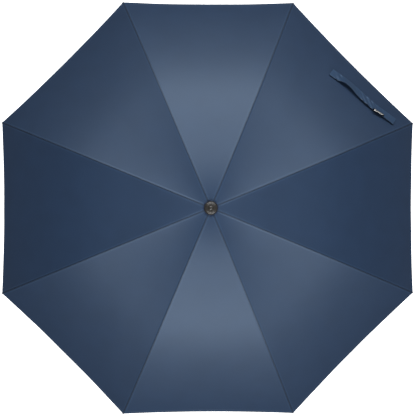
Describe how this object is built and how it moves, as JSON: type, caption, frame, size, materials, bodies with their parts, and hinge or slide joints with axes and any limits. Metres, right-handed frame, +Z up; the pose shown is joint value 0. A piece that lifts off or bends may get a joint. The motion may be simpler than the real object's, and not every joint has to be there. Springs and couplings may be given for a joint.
{
  "type": "folding umbrella",
  "caption": "Telescopic pocket umbrella, open: ribbed fabric canopy on a three-fold steel frame, sliding runner, push-button grip and top cap.",
  "frame": {"origin": "centre of the handle's bottom face, on the shaft's axis", "axes": "+Z up the shaft to the top cap, -Y the side of the push button, +X to the right of it"},
  "size_m": [0.9092, 0.9092, 0.561],
  "materials": {
    "grip_plastic": "satin",
    "black_plastic": "satin",
    "shaft_plastic": "satin",
    "shaft_steel": "satin",
    "spring_wire": "satin",
    "canopy_fabric": "satin",
    "strap_fabric": "satin",
    "snap_metal": "gloss",
    "cap_plastic": "gloss",
    "rib_steel": "satin",
    "rib_wire": "satin"
  },
  "bodies": {
    "handle": {"handle_grip": "grip_plastic", "end_cap": "grip_plastic", "lower_tube": "shaft_steel", "lower_tube_collar": "shaft_plastic", "shaft_spring": "spring_wire", "button_spring": "spring_wire"},
    "button": {"push_button": "black_plastic"},
    "middle_shaft": {"middle_tube": "shaft_steel", "middle_tube_collar": "shaft_plastic"},
    "upper_shaft": {"upper_tube": "shaft_steel", "upper_tube_plug": "shaft_plastic", "top_notch": "shaft_plastic", "notch_wire": "spring_wire", "rosette": "canopy_fabric", "top_cap": "cap_plastic", "canopy_panel_1": "canopy_fabric", "canopy_panel_2": "canopy_fabric", "canopy_panel_3": "canopy_fabric", "canopy_panel_4": "canopy_fabric", "canopy_panel_5": "canopy_fabric", "canopy_panel_6": "canopy_fabric", "canopy_panel_7": "canopy_fabric", "canopy_panel_8": "canopy_fabric", "closing_strap": "strap_fabric", "strap_snap": "snap_metal"},
    "runner": {"runner": "black_plastic", "runner_wire": "spring_wire"},
    "main_rib_1": {"main_rib_1": "rib_steel"},
    "middle_rib_1": {"middle_rib_1": "rib_steel"},
    "outer_rib_1": {"outer_rib_1": "rib_wire"},
    "stretcher_1": {"stretcher_1": "rib_steel"},
    "main_rib_2": {"main_rib_2": "rib_steel"},
    "middle_rib_2": {"middle_rib_2": "rib_steel"},
    "outer_rib_2": {"outer_rib_2": "rib_wire"},
    "stretcher_2": {"stretcher_2": "rib_steel"},
    "main_rib_3": {"main_rib_3": "rib_steel"},
    "middle_rib_3": {"middle_rib_3": "rib_steel"},
    "outer_rib_3": {"outer_rib_3": "rib_wire"},
    "stretcher_3": {"stretcher_3": "rib_steel"},
    "main_rib_4": {"main_rib_4": "rib_steel"},
    "middle_rib_4": {"middle_rib_4": "rib_steel"},
    "outer_rib_4": {"outer_rib_4": "rib_wire"},
    "stretcher_4": {"stretcher_4": "rib_steel"},
    "main_rib_5": {"main_rib_5": "rib_steel"},
    "middle_rib_5": {"middle_rib_5": "rib_steel"},
    "outer_rib_5": {"outer_rib_5": "rib_wire"},
    "stretcher_5": {"stretcher_5": "rib_steel"},
    "main_rib_6": {"main_rib_6": "rib_steel"},
    "middle_rib_6": {"middle_rib_6": "rib_steel"},
    "outer_rib_6": {"outer_rib_6": "rib_wire"},
    "stretcher_6": {"stretcher_6": "rib_steel"},
    "main_rib_7": {"main_rib_7": "rib_steel"},
    "middle_rib_7": {"middle_rib_7": "rib_steel"},
    "outer_rib_7": {"outer_rib_7": "rib_wire"},
    "stretcher_7": {"stretcher_7": "rib_steel"},
    "main_rib_8": {"main_rib_8": "rib_steel"},
    "middle_rib_8": {"middle_rib_8": "rib_steel"},
    "outer_rib_8": {"outer_rib_8": "rib_wire"},
    "stretcher_8": {"stretcher_8": "rib_steel"}
  },
  "joints": [
    {"name": "button_press", "type": "slide", "parent": "handle", "child": "button", "axis": [0, 1, 0], "range_m": [0, 0.0025], "stiffness_N_per_m": 400, "springref_m": -0.002, "deforming": ["button_spring"]},
    {"name": "shaft_collapse", "type": "slide", "parent": "handle", "child": "middle_shaft", "axis": [0, 0, -1], "range_m": [0, 0.1125], "deforming": ["shaft_spring"]},
    {"name": "upper_shaft_collapse", "type": "slide", "parent": "middle_shaft", "child": "upper_shaft", "axis": [0, 0, -1], "range_m": [0, 0.1125]},
    {"name": "runner_slide", "type": "slide", "parent": "upper_shaft", "child": "runner", "axis": [0, 0, -1], "range_m": [0, 0.11035], "deforming": ["canopy_panel_1", "canopy_panel_2", "canopy_panel_3", "canopy_panel_4", "canopy_panel_5", "canopy_panel_6", "canopy_panel_7", "canopy_panel_8", "closing_strap", "strap_snap"]},
    {"name": "main_fold_1", "type": "hinge", "parent": "upper_shaft", "child": "main_rib_1", "pos_m": [0.01219, 0.00505, 0.548], "axis": [-0.3827, 0.9239, 0], "range_deg": [0, 80]},
    {"name": "stretcher_fold_1", "type": "hinge", "parent": "main_rib_1", "child": "stretcher_1", "pos_m": [0.08281, 0.0343, 0.53229], "axis": [0.3827, -0.9239, 0], "range_deg": [0, 142.87]},
    {"name": "middle_fold_1", "type": "hinge", "parent": "main_rib_1", "child": "middle_rib_1", "pos_m": [0.1434, 0.0594, 0.52413], "axis": [0.3827, -0.9239, 0], "range_deg": [0, 188]},
    {"name": "outer_fold_1", "type": "hinge", "parent": "middle_rib_1", "child": "outer_rib_1", "pos_m": [0.26493, 0.10974, 0.47918], "axis": [-0.3827, 0.9239, 0], "range_deg": [0, 163.5]},
    {"name": "main_fold_2", "type": "hinge", "parent": "upper_shaft", "child": "main_rib_2", "pos_m": [0.00505, 0.01219, 0.548], "axis": [-0.9239, 0.3827, 0], "range_deg": [0, 80]},
    {"name": "stretcher_fold_2", "type": "hinge", "parent": "main_rib_2", "child": "stretcher_2", "pos_m": [0.0343, 0.08281, 0.53229], "axis": [0.9239, -0.3827, 0], "range_deg": [0, 142.87]},
    {"name": "middle_fold_2", "type": "hinge", "parent": "main_rib_2", "child": "middle_rib_2", "pos_m": [0.0594, 0.1434, 0.52413], "axis": [0.9239, -0.3827, 0], "range_deg": [0, 188]},
    {"name": "outer_fold_2", "type": "hinge", "parent": "middle_rib_2", "child": "outer_rib_2", "pos_m": [0.10974, 0.26493, 0.47918], "axis": [-0.9239, 0.3827, 0], "range_deg": [0, 163.5]},
    {"name": "main_fold_3", "type": "hinge", "parent": "upper_shaft", "child": "main_rib_3", "pos_m": [-0.00505, 0.01219, 0.548], "axis": [-0.9239, -0.3827, 0], "range_deg": [0, 80]},
    {"name": "stretcher_fold_3", "type": "hinge", "parent": "main_rib_3", "child": "stretcher_3", "pos_m": [-0.0343, 0.08281, 0.53229], "axis": [0.9239, 0.3827, 0], "range_deg": [0, 142.87]},
    {"name": "middle_fold_3", "type": "hinge", "parent": "main_rib_3", "child": "middle_rib_3", "pos_m": [-0.0594, 0.1434, 0.52413], "axis": [0.9239, 0.3827, 0], "range_deg": [0, 188]},
    {"name": "outer_fold_3", "type": "hinge", "parent": "middle_rib_3", "child": "outer_rib_3", "pos_m": [-0.10974, 0.26493, 0.47918], "axis": [-0.9239, -0.3827, 0], "range_deg": [0, 163.5]},
    {"name": "main_fold_4", "type": "hinge", "parent": "upper_shaft", "child": "main_rib_4", "pos_m": [-0.01219, 0.00505, 0.548], "axis": [-0.3827, -0.9239, 0], "range_deg": [0, 80]},
    {"name": "stretcher_fold_4", "type": "hinge", "parent": "main_rib_4", "child": "stretcher_4", "pos_m": [-0.08281, 0.0343, 0.53229], "axis": [0.3827, 0.9239, 0], "range_deg": [0, 142.87]},
    {"name": "middle_fold_4", "type": "hinge", "parent": "main_rib_4", "child": "middle_rib_4", "pos_m": [-0.1434, 0.0594, 0.52413], "axis": [0.3827, 0.9239, 0], "range_deg": [0, 188]},
    {"name": "outer_fold_4", "type": "hinge", "parent": "middle_rib_4", "child": "outer_rib_4", "pos_m": [-0.26493, 0.10974, 0.47918], "axis": [-0.3827, -0.9239, 0], "range_deg": [0, 163.5]},
    {"name": "main_fold_5", "type": "hinge", "parent": "upper_shaft", "child": "main_rib_5", "pos_m": [-0.01219, -0.00505, 0.548], "axis": [0.3827, -0.9239, 0], "range_deg": [0, 80]},
    {"name": "stretcher_fold_5", "type": "hinge", "parent": "main_rib_5", "child": "stretcher_5", "pos_m": [-0.08281, -0.0343, 0.53229], "axis": [-0.3827, 0.9239, 0], "range_deg": [0, 142.87]},
    {"name": "middle_fold_5", "type": "hinge", "parent": "main_rib_5", "child": "middle_rib_5", "pos_m": [-0.1434, -0.0594, 0.52413], "axis": [-0.3827, 0.9239, 0], "range_deg": [0, 188]},
    {"name": "outer_fold_5", "type": "hinge", "parent": "middle_rib_5", "child": "outer_rib_5", "pos_m": [-0.26493, -0.10974, 0.47918], "axis": [0.3827, -0.9239, 0], "range_deg": [0, 163.5]},
    {"name": "main_fold_6", "type": "hinge", "parent": "upper_shaft", "child": "main_rib_6", "pos_m": [-0.00505, -0.01219, 0.548], "axis": [0.9239, -0.3827, 0], "range_deg": [0, 80]},
    {"name": "stretcher_fold_6", "type": "hinge", "parent": "main_rib_6", "child": "stretcher_6", "pos_m": [-0.0343, -0.08281, 0.53229], "axis": [-0.9239, 0.3827, 0], "range_deg": [0, 142.87]},
    {"name": "middle_fold_6", "type": "hinge", "parent": "main_rib_6", "child": "middle_rib_6", "pos_m": [-0.0594, -0.1434, 0.52413], "axis": [-0.9239, 0.3827, 0], "range_deg": [0, 188]},
    {"name": "outer_fold_6", "type": "hinge", "parent": "middle_rib_6", "child": "outer_rib_6", "pos_m": [-0.10974, -0.26493, 0.47918], "axis": [0.9239, -0.3827, 0], "range_deg": [0, 163.5]},
    {"name": "main_fold_7", "type": "hinge", "parent": "upper_shaft", "child": "main_rib_7", "pos_m": [0.00505, -0.01219, 0.548], "axis": [0.9239, 0.3827, 0], "range_deg": [0, 80]},
    {"name": "stretcher_fold_7", "type": "hinge", "parent": "main_rib_7", "child": "stretcher_7", "pos_m": [0.0343, -0.08281, 0.53229], "axis": [-0.9239, -0.3827, 0], "range_deg": [0, 142.87]},
    {"name": "middle_fold_7", "type": "hinge", "parent": "main_rib_7", "child": "middle_rib_7", "pos_m": [0.0594, -0.1434, 0.52413], "axis": [-0.9239, -0.3827, 0], "range_deg": [0, 188]},
    {"name": "outer_fold_7", "type": "hinge", "parent": "middle_rib_7", "child": "outer_rib_7", "pos_m": [0.10974, -0.26493, 0.47918], "axis": [0.9239, 0.3827, 0], "range_deg": [0, 163.5]},
    {"name": "main_fold_8", "type": "hinge", "parent": "upper_shaft", "child": "main_rib_8", "pos_m": [0.01219, -0.00505, 0.548], "axis": [0.3827, 0.9239, 0], "range_deg": [0, 80]},
    {"name": "stretcher_fold_8", "type": "hinge", "parent": "main_rib_8", "child": "stretcher_8", "pos_m": [0.08281, -0.0343, 0.53229], "axis": [-0.3827, -0.9239, 0], "range_deg": [0, 142.87]},
    {"name": "middle_fold_8", "type": "hinge", "parent": "main_rib_8", "child": "middle_rib_8", "pos_m": [0.1434, -0.0594, 0.52413], "axis": [-0.3827, -0.9239, 0], "range_deg": [0, 188]},
    {"name": "outer_fold_8", "type": "hinge", "parent": "middle_rib_8", "child": "outer_rib_8", "pos_m": [0.26493, -0.10974, 0.47918], "axis": [0.3827, 0.9239, 0], "range_deg": [0, 163.5]}
  ],
  "couplings": [
    {"joint": "upper_shaft_collapse", "follows": "shaft_collapse", "ratio": 1},
    {"joint": "main_fold_1", "follows": "runner_slide", "rad_per_m": 12.653},
    {"joint": "stretcher_fold_1", "follows": "runner_slide", "rad_per_m": 22.596},
    {"joint": "middle_fold_1", "follows": "runner_slide", "rad_per_m": 29.734},
    {"joint": "outer_fold_1", "follows": "runner_slide", "rad_per_m": 25.859},
    {"joint": "main_fold_2", "follows": "runner_slide", "rad_per_m": 12.653},
    {"joint": "stretcher_fold_2", "follows": "runner_slide", "rad_per_m": 22.596},
    {"joint": "middle_fold_2", "follows": "runner_slide", "rad_per_m": 29.734},
    {"joint": "outer_fold_2", "follows": "runner_slide", "rad_per_m": 25.859},
    {"joint": "main_fold_3", "follows": "runner_slide", "rad_per_m": 12.653},
    {"joint": "stretcher_fold_3", "follows": "runner_slide", "rad_per_m": 22.596},
    {"joint": "middle_fold_3", "follows": "runner_slide", "rad_per_m": 29.734},
    {"joint": "outer_fold_3", "follows": "runner_slide", "rad_per_m": 25.859},
    {"joint": "main_fold_4", "follows": "runner_slide", "rad_per_m": 12.653},
    {"joint": "stretcher_fold_4", "follows": "runner_slide", "rad_per_m": 22.596},
    {"joint": "middle_fold_4", "follows": "runner_slide", "rad_per_m": 29.734},
    {"joint": "outer_fold_4", "follows": "runner_slide", "rad_per_m": 25.859},
    {"joint": "main_fold_5", "follows": "runner_slide", "rad_per_m": 12.653},
    {"joint": "stretcher_fold_5", "follows": "runner_slide", "rad_per_m": 22.596},
    {"joint": "middle_fold_5", "follows": "runner_slide", "rad_per_m": 29.734},
    {"joint": "outer_fold_5", "follows": "runner_slide", "rad_per_m": 25.859},
    {"joint": "main_fold_6", "follows": "runner_slide", "rad_per_m": 12.653},
    {"joint": "stretcher_fold_6", "follows": "runner_slide", "rad_per_m": 22.596},
    {"joint": "middle_fold_6", "follows": "runner_slide", "rad_per_m": 29.734},
    {"joint": "outer_fold_6", "follows": "runner_slide", "rad_per_m": 25.859},
    {"joint": "main_fold_7", "follows": "runner_slide", "rad_per_m": 12.653},
    {"joint": "stretcher_fold_7", "follows": "runner_slide", "rad_per_m": 22.596},
    {"joint": "middle_fold_7", "follows": "runner_slide", "rad_per_m": 29.734},
    {"joint": "outer_fold_7", "follows": "runner_slide", "rad_per_m": 25.859},
    {"joint": "main_fold_8", "follows": "runner_slide", "rad_per_m": 12.653},
    {"joint": "stretcher_fold_8", "follows": "runner_slide", "rad_per_m": 22.596},
    {"joint": "middle_fold_8", "follows": "runner_slide", "rad_per_m": 29.734},
    {"joint": "outer_fold_8", "follows": "runner_slide", "rad_per_m": 25.859}
  ]
}
